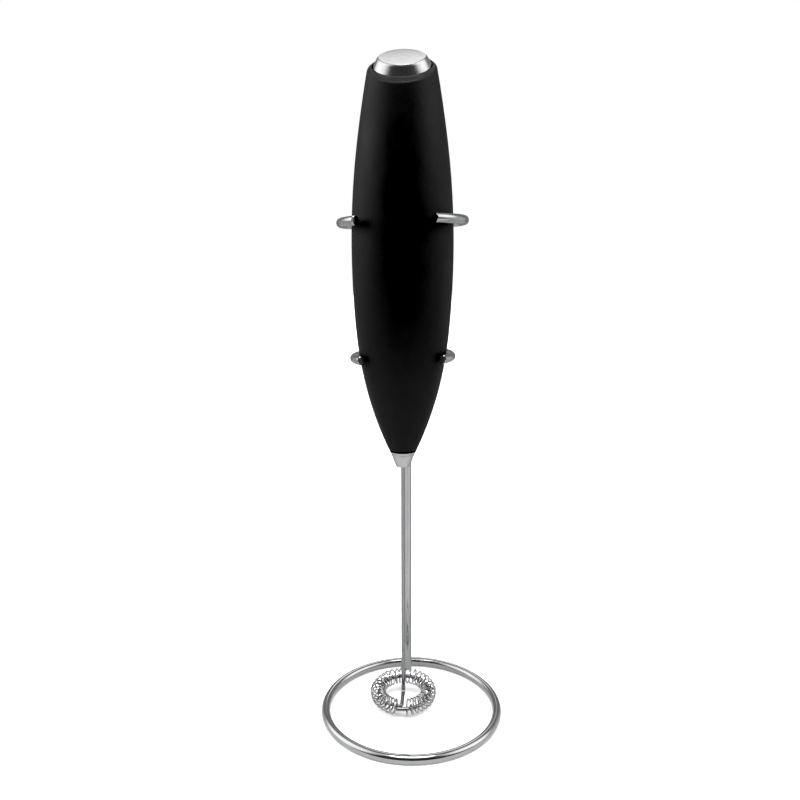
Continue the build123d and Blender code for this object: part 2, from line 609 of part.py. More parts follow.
def build_nose():
    keep_frother("seal_ring", tube(*SEAL_RADII, NOSE_TOP_Z, HANDLE_BOTTOM_Z))
    body = cone(NOSE_BOTTOM_R, NOSE_TOP_R, NOSE_BOTTOM_Z, NOSE_TOP_Z)
    body = fillet(body.faces().sort_by(Axis.Z)[0].edges(), NOSE_ROUND)
    spigot = rod(SPIGOT_R, NOSE_TOP_Z - MARGIN, CAVITY_START[1] + SPIGOT_ABOVE)
    keep_frother("nose_cap", body + spigot - rod(NOSE_BUSH_R, 0, SKY))
    keep_frother("nose_bush", tube(NOSE_BUSH_R, SHAFT_R + RUNNING_FIT,
                                   NOSE_BOTTOM_Z + NOSE_BUSH_LIFT, CAVITY_START[1] + NOSE_BUSH_ABOVE))


# ---------------------------------------------------------------- turning parts

def build_rotor():
    meeting = SHAFT_TOP_Z + SHAFT_GAP / 2
    keep_frother("motor_shaft", rod(MOTOR_SHAFT_R, SHAFT_TOP_Z + SHAFT_GAP, CAN_TOP_Z + SHAFT_TAIL))

    core_low, core_high = CORE_Z
    slot_in, slot_out, slot_width = CORE_SLOT
    core = rod(CORE_R, core_low, core_high) - rod(MOTOR_SHAFT_R, 0, SKY)
    winding = Pos(WINDING_X, 0, 0) * Box(*WINDING_SIZE, align=ON_AXIS)
    windings = []
    for pole in range(POLES):
        turn = Rot(0, 0, pole * 360 / POLES)
        core -= turn * block(slot_in, slot_out, -slot_width / 2, slot_width / 2, 0, SKY)
        between = turn * Rot(0, 0, 180 / POLES)
        for height in (core_low - WINDING_SIZE[2], core_high):
            windings.append(Pos(0, 0, height) * between * winding)
    keep_frother("armature_core", core)
    keep_frother("armature_windings", group(windings))
    keep_frother("commutator", tube(COMMUTATOR_R, MOTOR_SHAFT_R,
                                    core_high + COMMUTATOR_ABOVE_CORE, CAN_TOP_Z + COMMUTATOR_TOP))

    sleeve = rod(COUPLING_R, SHAFT_TOP_Z - COUPLING_GRIP, MOTOR_Z - COUPLING_BELOW_MOTOR)
    sleeve -= rod(SHAFT_R, 0, meeting)
    keep_frother("shaft_coupling", sleeve - rod(MOTOR_SHAFT_R, meeting, SKY))


def build_whisk():
    hoop_place = Pos(0, 0, WHISK_Z) * Rot(WHISK_TILT, 0, 0)
    tilt = math.radians(WHISK_TILT)
    hoop_front = (0, -WHISK_R * math.cos(tilt), WHISK_Z - WHISK_R * math.sin(tilt))
    path = FilletPolyline((0, 0, SHAFT_TOP_Z), (0, 0, WHISK_Z), hoop_front, radius=WHISK_BEND_R)
    keep_frother("whisk_shaft", bent_wire(path, SHAFT_R) + hoop_place * Torus(WHISK_R, SHAFT_R))

    turns = []
    for i in range(COIL_TURNS):
        around = -90 + COIL_GAP_DEG / 2 + (360 - COIL_GAP_DEG) * i / (COIL_TURNS - 1)
        turn = Rot(0, 0, around) * Pos(WHISK_R, 0, 0) * Rot(90, 0, 0) * Torus(COIL_R, COIL_WIRE_R)
        turns.append(hoop_place * turn)
    keep_frother("whisk_coil", group(turns))


# ---------------------------------------------------------------- build and write

build_stand()
build_shell()
build_cover()
build_button()
build_switch()
build_tray()
build_cells()
build_contacts()
build_motor()
build_motor_mount()
build_nose()
build_rotor()
build_whisk()

os.makedirs("parts", exist_ok=True)
for name, shape in pieces.items():
    export_step(shape, f"parts/{name}.step")
print(len(pieces), "pieces written")
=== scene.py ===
"""Looks for a battery milk frother standing in its wire stand. Everything is in metres."""

import json
import math
import random

import bmesh
import bpy
from mathutils import Matrix, Vector


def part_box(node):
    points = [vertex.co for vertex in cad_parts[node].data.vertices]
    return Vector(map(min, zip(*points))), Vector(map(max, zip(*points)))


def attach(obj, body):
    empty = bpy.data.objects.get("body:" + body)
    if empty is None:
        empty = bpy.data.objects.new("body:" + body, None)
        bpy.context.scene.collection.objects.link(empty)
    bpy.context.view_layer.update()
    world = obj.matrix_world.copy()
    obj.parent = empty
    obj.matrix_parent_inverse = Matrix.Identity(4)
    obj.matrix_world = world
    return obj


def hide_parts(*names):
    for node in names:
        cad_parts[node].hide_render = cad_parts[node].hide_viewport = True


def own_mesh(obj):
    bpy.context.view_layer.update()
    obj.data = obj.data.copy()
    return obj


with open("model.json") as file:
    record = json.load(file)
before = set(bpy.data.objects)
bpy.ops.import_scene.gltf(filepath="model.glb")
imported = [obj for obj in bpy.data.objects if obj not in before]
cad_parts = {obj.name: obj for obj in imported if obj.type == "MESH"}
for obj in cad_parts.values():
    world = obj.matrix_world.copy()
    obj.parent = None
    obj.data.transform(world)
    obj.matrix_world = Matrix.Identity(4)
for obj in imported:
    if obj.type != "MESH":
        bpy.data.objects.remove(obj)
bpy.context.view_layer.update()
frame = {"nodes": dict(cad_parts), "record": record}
MM = 0.001

# ---------------------------------------------------------------- places taken from the frame


def middle(node):
    """The centre of a CAD node's box."""
    low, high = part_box(node)
    return (low + high) / 2


AXIS = middle("seal_ring").xy                     # the frother's own axis
WIRE_R = (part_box("stand_base_ring")[1].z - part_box("stand_base_ring")[0].z) / 2

# ---------------------------------------------------------------- mesh helpers

ROUNDING_STEPS = 5                  # segments of a rounded corner
LATHE_SEGMENTS = 96
CUT_CHAMFER = 0.12                  # chamfer of a wire's cut end, as a share of its radius


def mesh_object(name, points, faces, sharp_angle=40):
    """A smooth-shaded mesh whose edges turn sharp where faces meet at more than an angle."""
    mesh = bpy.data.meshes.new(name)
    mesh.from_pydata([tuple(p) for p in points], [], faces)
    mesh.validate()
    mesh.shade_smooth()
    mesh.set_sharp_from_angle(angle=math.radians(sharp_angle))
    piece = bpy.data.objects.new(name, mesh)
    bpy.context.scene.collection.objects.link(piece)
    return piece


def outward(piece, merge_distance=0.0):
    """Makes the faces of a closed mesh look outward, after merging points that coincide."""
    bm = bmesh.new()
    bm.from_mesh(piece.data)
    if merge_distance:
        bmesh.ops.remove_doubles(bm, verts=bm.verts, dist=merge_distance)
    bmesh.ops.recalc_face_normals(bm, faces=bm.faces)
    bm.to_mesh(piece.data)
    bm.free()
    return piece


def circle(radius, z, sides):
    """Points of a level circle round the local Z axis."""
    points = []
    for k in range(sides):
        a = 2 * math.pi * k / sides
        points.append(Vector((radius * math.cos(a), radius * math.sin(a), z)))
    return points


def tube_faces(rings, sides, joined=False):
    """Quads between closed rings of points. Joined, the last ring runs on into the first."""
    faces = []
    for i in range(rings if joined else rings - 1):
        here, ahead = i * sides, (i + 1) % rings * sides
        for k in range(sides):
            turned = (k + 1) % sides
            faces.append((here + k, here + turned, ahead + turned, ahead + k))
    return faces


def rounded(corners):
    """An outline of (r, z, rounding) corners, each corner turned into a small arc."""
    outline = []
    for k, (r, z, size) in enumerate(corners):
        here = Vector((r, z))
        if size <= 0 or k in (0, len(corners) - 1):
            outline.append(here)
            continue
        before = Vector(corners[k - 1][:2]) - here
        after = Vector(corners[k + 1][:2]) - here
        half = before.angle(after) / 2
        longest = 0.45 * min(before.length, after.length)
        reach = min(size / math.tan(half), longest)
        radius = reach * math.tan(half)
        first, last = here + before.normalized() * reach, here + after.normalized() * reach
        inward = (before.normalized() + after.normalized()).normalized()
        centre = here + inward * (radius / math.sin(half))
        for i in range(ROUNDING_STEPS + 1):
            spoke = first.lerp(last, i / ROUNDING_STEPS) - centre
            outline.append(centre + spoke.normalized() * radius)
    return outline


def lathe(name, corners):
    """A ring turned round the frother's axis. The corners run once round its section."""
    outline = rounded(corners)
    points = []
    for r, z in outline:
        points += circle(r, z, LATHE_SEGMENTS)
    faces = tube_faces(len(outline), LATHE_SEGMENTS, joined=True)
    piece = outward(mesh_object(name, points, faces, 35))
    piece.matrix_world = Matrix.Translation((AXIS.x, AXIS.y, 0))
    return piece


def sweep(name, path, radius, sides):
    """A round wire along a path of points, with softly chamfered cut ends."""
    end = len(path) - 1
    tangents = [(path[min(i + 1, end)] - path[max(i - 1, 0)]).normalized() for i in range(end + 1)]
    side = tangents[0].orthogonal().normalized()
    sections = []
    for centre, tangent in zip(path, tangents):
        side = (side - tangent * side.dot(tangent)).normalized()
        sections.append((centre, side, tangent.cross(side), radius))

    cut = radius * CUT_CHAMFER
    first, last = sections[0], sections[-1]
    sections[0] = (first[0] + tangents[0] * cut, *first[1:])
    sections[-1] = (last[0] - tangents[-1] * cut, *last[1:])
    sections.insert(0, (*first[:3], radius - cut))
    sections.append((*last[:3], radius - cut))

    points = []
    for centre, u, v, r in sections:
        points += [centre + u * p.x + v * p.y for p in circle(r, 0, sides)]
    faces = tube_faces(len(sections), sides)
    faces.append(list(range(sides))[::-1])
    faces.append([len(points) - sides + k for k in range(sides)])
    return outward(mesh_object(name, points, faces, 30))


def finish_piece(piece, body, slot, material, *nodes):
    """Gives a piece its material and body, and lets it stand for CAD nodes. The slot is not used."""
    piece.data.materials.clear()
    piece.data.materials.append(material)
    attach(piece, body)
    if nodes:
        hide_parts(*nodes)
    return piece


# ---------------------------------------------------------------- materials


class Nodes:
    """A small helper for building a material's node tree."""

    def __init__(self, name):
        self.material = bpy.data.materials.new(name)
        self.material.use_nodes = True
        self.tree = self.material.node_tree
        self.shader = self.tree.nodes["Principled BSDF"]

    def add(self, kind, **settings):
        node = self.tree.nodes.new(kind)
        for key, value in settings.items():
            setattr(node, key, value)
        return node

    def link(self, source, target):
        """Links to an input, or to the shader's input of that name."""
        if isinstance(target, str):
            target = self.shader.inputs[target]
        self.tree.links.new(source, target)

    def set(self, **values):
        """Sets plain values of the shader. A link to the same input takes precedence."""
        for key, value in values.items():
            self.shader.inputs[key.replace("_", " ")].default_value = value

    def coordinates(self, scale):
        """The piece's own coordinates, scaled along each axis."""
        where = self.add("ShaderNodeTexCoord")
        mapping = self.add("ShaderNodeMapping")
        mapping.inputs["Scale"].default_value = scale
        self.link(where.outputs["Object"], mapping.inputs["Vector"])
        return mapping.outputs["Vector"]

    def along(self, vector, axis):
        """One axis of a vector."""
        parts = self.add("ShaderNodeSeparateXYZ")
        self.link(vector, parts.inputs["Vector"])
        return parts.outputs[axis]

    def noise(self, scale, detail, streaks=(1, 1, 1)):
        """Noise in the piece's own coordinates, drawn out where a streak's scale is small."""
        node = self.add("ShaderNodeTexNoise")
        node.inputs["Scale"].default_value = scale
        node.inputs["Detail"].default_value = detail
        node.inputs["Roughness"].default_value = 0.55
        self.link(self.coordinates(streaks), node.inputs["Vector"])
        return node.outputs["Fac"]

    def ramp(self, source, low, high, low_at, high_at):
        """Maps a value between two stops to a number or a colour between low and high."""
        node = self.add("ShaderNodeValToRGB")
        stops = node.color_ramp.elements
        for stop, value, position in ((stops[0], low, low_at), (stops[1], high, high_at)):
            colour = value if isinstance(value, tuple) else (value, value, value)
            stop.position = position
            stop.color = (*colour, 1)
        self.link(source, node.inputs["Fac"])
        return node.outputs["Color"]

    def bump(self, height, strength, distance):
        """Bumps the surface where a height rises, by up to a distance in metres."""
        node = self.add("ShaderNodeBump")
        node.inputs["Strength"].default_value = strength
        node.inputs["Distance"].default_value = distance
        self.link(height, node.inputs["Height"])
        self.link(node.outputs["Normal"], "Normal")


def soft_touch():
    """Matt black soft-touch coating: even, very fine grain, faint handling marks."""
    clean, handled = (0.0020, 0.0020, 0.0021), (0.0032, 0.0032, 0.0034)
    m = Nodes("soft_touch_black")
    m.set(Base_Color=(0.003, 0.003, 0.003, 1), Roughness=0.54, Specular_IOR_Level=0.37)
    marks = m.noise(scale=90, detail=5.0)
    m.link(m.ramp(marks, 0.49, 0.58, low_at=0.35, high_at=0.7), "Roughness")
    m.link(m.ramp(marks, clean, handled, low_at=0.3, high_at=0.7), "Base Color")
    m.bump(m.noise(scale=5200, detail=2.0), strength=0.25, distance=0.03 * MM)
    return m.material


def plain_plastic(name, colour, roughness, grain=3000, gloss=0.5):
    """Moulded plastic with a fine spark-eroded grain."""
    m = Nodes(name)
    m.set(Base_Color=(*colour, 1), Roughness=roughness, Specular_IOR_Level=gloss)
    patches = m.noise(scale=160, detail=4.0)
    m.link(m.ramp(patches, roughness - 0.06, roughness + 0.08, low_at=0.3, high_at=0.7), "Roughness")
    m.bump(m.noise(scale=grain, detail=2.0), strength=0.3, distance=0.03 * MM)
    return m.material


def metal(name, colour, roughness, spread, streaks, strength=0.15, depth=0.01 * MM, grain=140):
    """Metal with fine drawn or brushed streaks along the axis where the scale is smallest."""
    m = Nodes(name)
    m.set(Metallic=1.0, Base_Color=(*colour, 1), Roughness=roughness)
    fine = m.noise(scale=1, detail=3.0, streaks=streaks)
    cloudy = m.noise(scale=grain, detail=4.0)
    m.link(m.ramp(fine, roughness - spread, roughness + spread, low_at=0.3, high_at=0.7), "Roughness")
    darker = tuple(c * 0.9 for c in colour)
    m.link(m.ramp(cloudy, darker, colour, low_at=0.3, high_at=0.65), "Base Color")
    m.bump(fine, strength, depth)
    return m.material


def battery_jacket():
    """A plain blue metal jacket that leaves the two ends of the cell bare."""
    blue, bare = (0.10, 0.20, 0.30), (0.62, 0.61, 0.58)
    bare_share, soft_edge = 0.025, 0.001              # shares of the cell's length
    m = Nodes("battery_jacket")
    m.set(Metallic=1.0)
    height = m.along(m.add("ShaderNodeTexCoord").outputs["Generated"], "Z")
    from_middle = m.add("ShaderNodeMath", operation="SUBTRACT")
    from_middle.inputs[1].default_value = 0.5
    m.link(height, from_middle.inputs[0])
    distance = m.add("ShaderNodeMath", operation="ABSOLUTE")
    m.link(from_middle.outputs["Value"], distance.inputs[0])
    edge = 0.5 - bare_share
    jacket = m.ramp(distance.outputs["Value"], blue, bare, edge - soft_edge, edge + soft_edge)
    m.link(jacket, "Base Color")
    fine = m.noise(scale=1, detail=3.0, streaks=(60, 60, 900))
    m.link(m.ramp(fine, 0.25, 0.35, low_at=0.3, high_at=0.7), "Roughness")
    m.bump(fine, strength=0.15, distance=0.01 * MM)
    return m.material


BLACK = soft_touch()
CHROME_WIRE = metal("polished_wire", (0.58, 0.585, 0.59), roughness=0.10, spread=0.03,
                    streaks=(900, 900, 900), strength=0.05)
SATIN = metal("satin_metal", (0.62, 0.62, 0.63), roughness=0.22, spread=0.05,
              streaks=(300, 3200, 3200), strength=0.12, depth=0.006 * MM, grain=1500)
NOSE_METAL = metal("nose_metal", (0.74, 0.74, 0.75), roughness=0.40, spread=0.04,
                   streaks=(300, 300, 5200), strength=0.06, depth=0.004 * MM, grain=1500)
SHAFT_METAL = metal("polished_shaft", (0.39, 0.39, 0.40), roughness=0.20, spread=0.05,
                    streaks=(2600, 2600, 120), strength=0.05)
WHISK_METAL = metal("whisk_wire", (0.60, 0.60, 0.61), roughness=0.06, spread=0.02,
                    streaks=(800, 800, 800), strength=0.03)
STEEL = metal("plated_steel", (0.60, 0.60, 0.58), roughness=0.30, spread=0.08,
              streaks=(500, 500, 2400))
NICKEL = metal("nickel_contact", (0.72, 0.70, 0.66), roughness=0.20, spread=0.06,
               streaks=(700, 700, 700))
SPRING = metal("spring_steel", (0.50, 0.50, 0.52), roughness=0.24, spread=0.06,
               streaks=(700, 700, 700))
BRASS = metal("brass_strip", (0.78, 0.58, 0.26), roughness=0.26, spread=0.07,
              streaks=(300, 2400, 900))
BRONZE = metal("bronze_bush", (0.55, 0.36, 0.20), roughness=0.42, spread=0.08,
               streaks=(900, 900, 900))
LAMINATION = metal("rotor_steel", (0.34, 0.34, 0.36), roughness=0.38, spread=0.08,
                   streaks=(60, 60, 6000), strength=0.5)
COPPER = metal("enamelled_copper", (0.62, 0.26, 0.10), roughness=0.30, spread=0.07,
               streaks=(600, 600, 5200), strength=0.6, depth=0.05 * MM)
BLACK_PLASTIC = plain_plastic("black_plastic", (0.022, 0.022, 0.023), roughness=0.46)
BLACK_RUBBER = plain_plastic("black_rubber", (0.003, 0.003, 0.003), roughness=0.62, gloss=0.08)
WHITE_PLASTIC = plain_plastic("white_plastic", (0.72, 0.71, 0.66), roughness=0.40)
NYLON = plain_plastic("nylon_bush", (0.74, 0.72, 0.64), roughness=0.36)
FERRITE = plain_plastic("ferrite", (0.035, 0.034, 0.033), roughness=0.62, grain=1800)
CARBON = plain_plastic("carbon", (0.03, 0.03, 0.03), roughness=0.55, grain=1800)
JACKET = battery_jacket()

CAD_MATERIALS = {
    "polished_wire": CHROME_WIRE, "soft_black": BLACK, "black_plastic": BLACK_PLASTIC,
    "black_rubber": BLACK_RUBBER, "plated_steel": STEEL, "brass_strip": BRASS,
    "battery_jacket": JACKET, "nickel_contact": NICKEL, "spring_steel": SPRING,
    "bronze_bush": BRONZE, "nylon_bush": NYLON, "white_plastic": WHITE_PLASTIC,
    "ferrite": FERRITE, "carbon": CARBON, "rotor_steel": LAMINATION,
    "enamelled_copper": COPPER, "polished_shaft": SHAFT_METAL, "satin_metal": SATIN,
    "whisk_wire": WHISK_METAL}


def dress_cad_nodes():
    """Every CAD node gets the finished material of its slot."""
    for part in frame["record"]["subparts"]:
        mesh = frame["nodes"][part["node"]].data
        mesh.materials.clear()
        mesh.materials.append(CAD_MATERIALS[part["material_slot"]])


# ---------------------------------------------------------------- wire stand

WIRE_SIDES = 28
RING_SEAM = 0.45                    # half the angle between the ring's two ends, in degrees
RING_SPRING = 0.25 * MM             # how far one end of the ring has sprung up
RING_STEPS, SPRUNG_STEPS = 240, 30
POST_STEPS = 40
CLIP_TILT = math.radians(1.2)       # both clips stand a little askew, their left side lower
# (piece, node, degrees from the front to the left end and to the right end, steps)
CLIPS = [
    ("upper_clip_wire", "stand_upper_clip", 42, 34, 120),
    ("lower_clip_wire", "stand_lower_clip", 51, 56, 110)]


def circle_path(centre, radius, start, end, steps, back_reach=None):
    """Points of an arc about a vertical axis, in degrees. Its back half may reach further."""
    points = []
    for i in range(steps + 1):
        a = math.radians(start + (end - start) * i / steps)
        x, y = radius * math.cos(a), radius * math.sin(a)
        if back_reach and y > 0:
            y *= back_reach / radius
        points.append(centre + Vector((x, y, 0)))
    return points


def stand_wire(name, path, node):
    """One polished wire of the stand, in place of one CAD node."""
    finish_piece(sweep(name, path, WIRE_R, WIRE_SIDES), "stand", "polished_wire", CHROME_WIRE, node)


def build_stand():
    """The base ring, the upright, both clips and the weld beads between them."""
    low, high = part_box("stand_base_ring")
    centre = (low + high) / 2
    ring_r = (high.x - low.x) / 2 - WIRE_R
    foot = middle("stand_upright")
    behind = math.degrees(math.atan2(foot.y - centre.y, foot.x - centre.x))
    ring = circle_path(centre, ring_r, behind + RING_SEAM, behind + 360 - RING_SEAM, RING_STEPS)
    # The ring springs open a little, so that its two ends meet at slightly different heights.
    for i, point in enumerate(ring):
        point.z += RING_SPRING * max(0.0, 1 - (RING_STEPS - i) / SPRUNG_STEPS)
    stand_wire("base_ring_wire", ring, "stand_base_ring")

    low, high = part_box("stand_upright")
    bottom, top = Vector((foot.x, foot.y, low.z)), Vector((foot.x, foot.y, high.z))
    stand_wire("upright_wire", [bottom.lerp(top, i / POST_STEPS) for i in range(POST_STEPS + 1)],
               "stand_upright")

    for name, node, left, right, steps in CLIPS:
        low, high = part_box(node)
        radius = (high.x - low.x) / 2 - WIRE_R
        reach = high.y - AXIS.y - WIRE_R
        height = (low.z + high.z) / 2
        place = Matrix.Translation((AXIS.x, AXIS.y, height)) @ Matrix.Rotation(-CLIP_TILT, 4, "Y")
        level = circle_path(Vector((0, 0, 0)), radius, right - 90, 270 - left, steps, reach)
        stand_wire(name, [place @ p for p in level], node)

    build_welds(centre, foot)


def weld_bead(name, at, size):
    """A small smooth bead of weld metal between two wires."""
    rings, sides, lumps = 10, 18, 0.05
    rough = random.Random(name)
    points = []
    for i in range(rings + 1):
        v = math.pi * i / rings
        for p in circle(math.sin(v), math.cos(v), sides):
            lump = 1 + lumps * rough.uniform(-1, 1)
            points.append(at + Vector((p.x * size[0], p.y * size[1], p.z * size[2])) * lump * MM)
    bead = outward(mesh_object(name, points, tube_faces(rings + 1, sides), 80), 0.08 * MM)
    bead.data.shade_smooth()
    finish_piece(bead, "stand", "polished_wire", STEEL)


def build_welds(ring_centre, foot):
    """Three beads: at the ring, and where each clip crosses the upright. Sizes are in mm."""
    sunk = 0.98 * WIRE_R                # a bead's centre lies just under the wire's surface
    outward_way = (foot.xy - ring_centre.xy).normalized()
    touch = foot.xy + outward_way * sunk
    weld_bead("weld_bead_ring", Vector((touch.x, touch.y, WIRE_R)), (1.5, 1.0, 1.4))
    for name, node in (("weld_bead_upper", "stand_upper_clip"),
                       ("weld_bead_lower", "stand_lower_clip")):
        at = Vector((foot.x, foot.y - sunk, middle(node).z))
        weld_bead(name, at, (1.5, 0.9, 1.5))


# ---------------------------------------------------------------- button, seal and nose

BUTTON_TOP_R = 8.45 * MM
BUTTON_RIM_R = 9.85 * MM
BUTTON_HEIGHT = 2.8 * MM
BUTTON_CHAMFER = 0.5 * MM
BUTTON_SKIRT = 8.2 * MM             # how far the skirt hangs below the rim, on the axis
BUTTON_SKIN = 0.7 * MM
BUTTON_DISH = 0.12 * MM             # how far the middle of the face is dished
BUTTON_FACE_R = BUTTON_TOP_R - BUTTON_CHAMFER
BUTTON_COLUMNS = 128
FACE_RINGS = 9

TOP_SLANT = math.radians(32)        # the handle's top faces forward by this angle
TOP_Z = 231.4 * MM                  # height of the slanted top on the axis

MOUTH_R = 3.2 * MM                  # hole in the handle's lower end
NOSE_FOOT_R = 2.45 * MM
NOSE_BORE_R = 1.7 * MM
NOSE_NECK_R = 3.1 * MM
NOSE_BAND = 0.8 * MM                # plain band above a fine groove
NOSE_GROOVE = 0.16 * MM


def button_profile():
    """The (r, z) outline of the button above its rim, from the middle of its face outward."""
    outline = [(0.5 * MM, BUTTON_HEIGHT - BUTTON_DISH)]
    for i in range(1, FACE_RINGS):
        share = i / FACE_RINGS
        outline.append((BUTTON_FACE_R * share, BUTTON_HEIGHT - BUTTON_DISH * (1 - share ** 2)))
    corners = [(BUTTON_FACE_R - 0.5 * MM, BUTTON_HEIGHT, 0),
               (BUTTON_FACE_R, BUTTON_HEIGHT, 0.30 * MM),
               (BUTTON_TOP_R, BUTTON_HEIGHT - BUTTON_CHAMFER, 0.22 * MM),
               (BUTTON_RIM_R, 0.0, 0)]
    return outline + rounded(corners)


def build_button():
    """The button's shell: a dished face, a bright chamfer, a cone, and an upright oval skirt."""
    slant = Matrix.Rotation(TOP_SLANT, 3, "X")
    down = slant.transposed() @ Vector((0, 0, -1))
    points = [Vector((0, 0, BUTTON_HEIGHT - BUTTON_DISH))]
    for r, z in button_profile():
        points += circle(r, z, BUTTON_COLUMNS)
    rim = points[-BUTTON_COLUMNS:]
    depths = [(slant @ p).z + BUTTON_SKIRT for p in rim]
    tuck = (BUTTON_RIM_R - BUTTON_SKIN) / BUTTON_RIM_R
    # Rings down the outside of the skirt, then back up its inside.
    skirt = [(1, share) for share in (0.02, 0.3, 0.65, 1.0)] + [(tuck, share) for share in (1.0, 0.4, 0.0)]
    for shrink, share in skirt:
        points += [p * shrink + down * (depth * share) for p, depth in zip(rim, depths)]
    rings = (len(points) - 1) // BUTTON_COLUMNS
    faces = [tuple(corner + 1 for corner in face) for face in tube_faces(rings, BUTTON_COLUMNS)]
    faces += [(0, 1 + k, 1 + (k + 1) % BUTTON_COLUMNS) for k in range(BUTTON_COLUMNS)]
    faces.append([1 + (rings - 1) * BUTTON_COLUMNS + k for k in range(BUTTON_COLUMNS)])
    # Local Z stands out of the slanted top, and local -Y points down its front.
    place = Matrix.Translation((AXIS.x, AXIS.y, TOP_Z)) @ slant.to_4x4()
    button = outward(mesh_object("button_shell", [place @ p for p in points], faces, 30))
    finish_piece(button, "button", "satin_metal", SATIN, "button_cap")


def build_nose():
    """The thin black seal, and under it the silver nose with a groove below its top band."""
    low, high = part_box("seal_ring")
    outer, inner = (high.x - low.x) / 2, MOUTH_R + 0.1 * MM
    soft = 0.12 * MM
    seal = [(inner, low.z, 0), (outer, low.z, soft), (outer, high.z, soft), (inner, high.z, 0)]
    finish_piece(lathe("seal_washer", seal), "handle", "black_rubber", BLACK_RUBBER, "seal_ring")

    top_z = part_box("seal_ring")[0].z
    low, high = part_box("nose_cap")
    top_r = (high.x - low.x) / 2
    slope = (top_r - NOSE_FOOT_R) / (top_z - low.z)
    edge, soft = 0.08 * MM, 0.05 * MM
    groove_end = NOSE_BAND + 2 * NOSE_GROOVE
    corners = [(NOSE_BORE_R, low.z, 0),
               (NOSE_FOOT_R, low.z, 0.8 * MM),
               (top_r - slope * groove_end, top_z - groove_end, 0),
               (top_r - slope * NOSE_BAND - NOSE_GROOVE, top_z - NOSE_BAND - NOSE_GROOVE, soft),
               (top_r - slope * NOSE_BAND, top_z - NOSE_BAND, 0.03 * MM),
               (top_r, top_z - edge, soft),
               (top_r - edge, top_z, soft),
               (NOSE_NECK_R, top_z, soft),
               (NOSE_NECK_R, high.z, 0.2 * MM),
               (NOSE_BORE_R, high.z, 0)]
    finish_piece(lathe("nose_cone", corners), "handle", "satin_metal", NOSE_METAL, "nose_cap")


# ---------------------------------------------------------------- whisk

SHAFT_R = 0.75 * MM
SHAFT_SIDES = 16
SHAFT_STEPS = 30
HUB_BEND_R = 1.8 * MM               # where the shaft turns into the arm
FRONT_BEND_R = 1.1 * MM             # where the arm turns into the hoop
HOOP_R = 9.7 * MM
HOOP_INSET = 0.75 * MM              # the hoop starts inside its own last stretch
HOOP_OUTSET = 0.72 * MM
HOOP_DROP = 0.35 * MM
HOOP_TILT = math.radians(5)
HOOP_START = math.radians(12)       # the bend at the front takes up this much of the hoop
HOOP_LAP = math.radians(372)
HOOP_STEPS = 150
COIL_R = 2.75 * MM
COIL_WIRE_R = 0.32 * MM
COIL_SIDES = 10
COIL_TURNS = 34
COIL_STEPS = 20                     # points in one turn
COIL_GAP = math.radians(20)
COIL_WOBBLE = 0.022                 # how far a turn may lean, in radians round the hoop
COIL_SLACK = 0.025                  # half the spread of the turns' radii, as a share


def bend(start, corner, end, radius):
    """Points of a round bend from one straight run into another."""
    steps = 10
    before, after = (start - corner).normalized(), (end - corner).normalized()
    half = before.angle(after) / 2
    reach = radius / math.tan(half)
    centre = corner + (before + after).normalized() * (radius / math.sin(half))
    first, last = corner + before * reach - centre, corner + after * reach - centre
    turn = math.pi - 2 * half
    points = []
    for i in range(steps + 1):
        t = turn * i / steps
        points.append(centre + (first * math.sin(turn - t) + last * math.sin(t)) / math.sin(turn))
    return points


def build_whisk_frame(place):
    """One wire: straight shaft, bend, arm forward, then once round the hoop past its own start."""
    start_r, end_r = HOOP_R - HOOP_INSET, HOOP_R + HOOP_OUTSET
    top = Vector((AXIS.x, AXIS.y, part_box("whisk_shaft")[1].z))
    hub = Vector((AXIS.x, AXIS.y, place.translation.z))
    front = place @ Vector((0, -start_r, 0))
    left = place @ Vector((-start_r, -start_r, 0))
    path = [top.lerp(hub, 0.97 * i / SHAFT_STEPS) for i in range(SHAFT_STEPS + 1)]
    path += bend(top, hub, front, HUB_BEND_R)
    path += bend(hub, front, left, FRONT_BEND_R)
    for i in range(1, HOOP_STEPS + 1):
        turned = HOOP_START + (HOOP_LAP - HOOP_START) * i / HOOP_STEPS
        share = turned / HOOP_LAP
        radius = start_r + (end_r - start_r) * share
        a = -math.pi / 2 - turned
        path.append(place @ Vector((radius * math.cos(a), radius * math.sin(a), -HOOP_DROP * share)))
    finish_piece(sweep("whisk_wire_frame", path, SHAFT_R, SHAFT_SIDES), "rotor", "polished_shaft",
                 SHAFT_METAL, "whisk_shaft")


def build_whisk_coil(place):
    """Fine wire wound round the hoop, a little unevenly, with a gap at the front."""
    rough = random.Random(11)
    uneven_turns = [rough.uniform(-1, 1) for _ in range(COIL_TURNS + 2)]
    total = COIL_TURNS * COIL_STEPS
    points = []
    for i in range(total + 1):
        turn, step = divmod(i, COIL_STEPS)
        mix = step / COIL_STEPS
        uneven = uneven_turns[turn] * (1 - mix) + uneven_turns[turn + 1] * mix
        wound = (2 * math.pi - COIL_GAP) * i / total
        a = -math.pi / 2 - COIL_GAP / 2 - wound + COIL_WOBBLE * uneven
        around = 2 * math.pi * i / COIL_STEPS
        r = COIL_R * (1 - COIL_SLACK + COIL_SLACK * uneven)
        radius = HOOP_R + r * math.cos(around)
        points.append(place @ Vector((radius * math.cos(a), radius * math.sin(a), r * math.sin(around))))
    finish_piece(sweep("whisk_coil_wire", points, COIL_WIRE_R, COIL_SIDES), "rotor", "whisk_wire",
                 WHISK_METAL, "whisk_coil")


def build_whisk():
    """The hoop's centre is the middle of the coil, and the hoop droops at the front."""
    place = Matrix.Translation(middle("whisk_coil")) @ Matrix.Rotation(HOOP_TILT, 4, "X")
    build_whisk_frame(place)
    build_whisk_coil(place)


# ---------------------------------------------------------------- button spring

SPRING_WIRE_R = 0.25 * MM
SPRING_TURNS = 8
SPRING_STEPS = 24                   # points in one turn


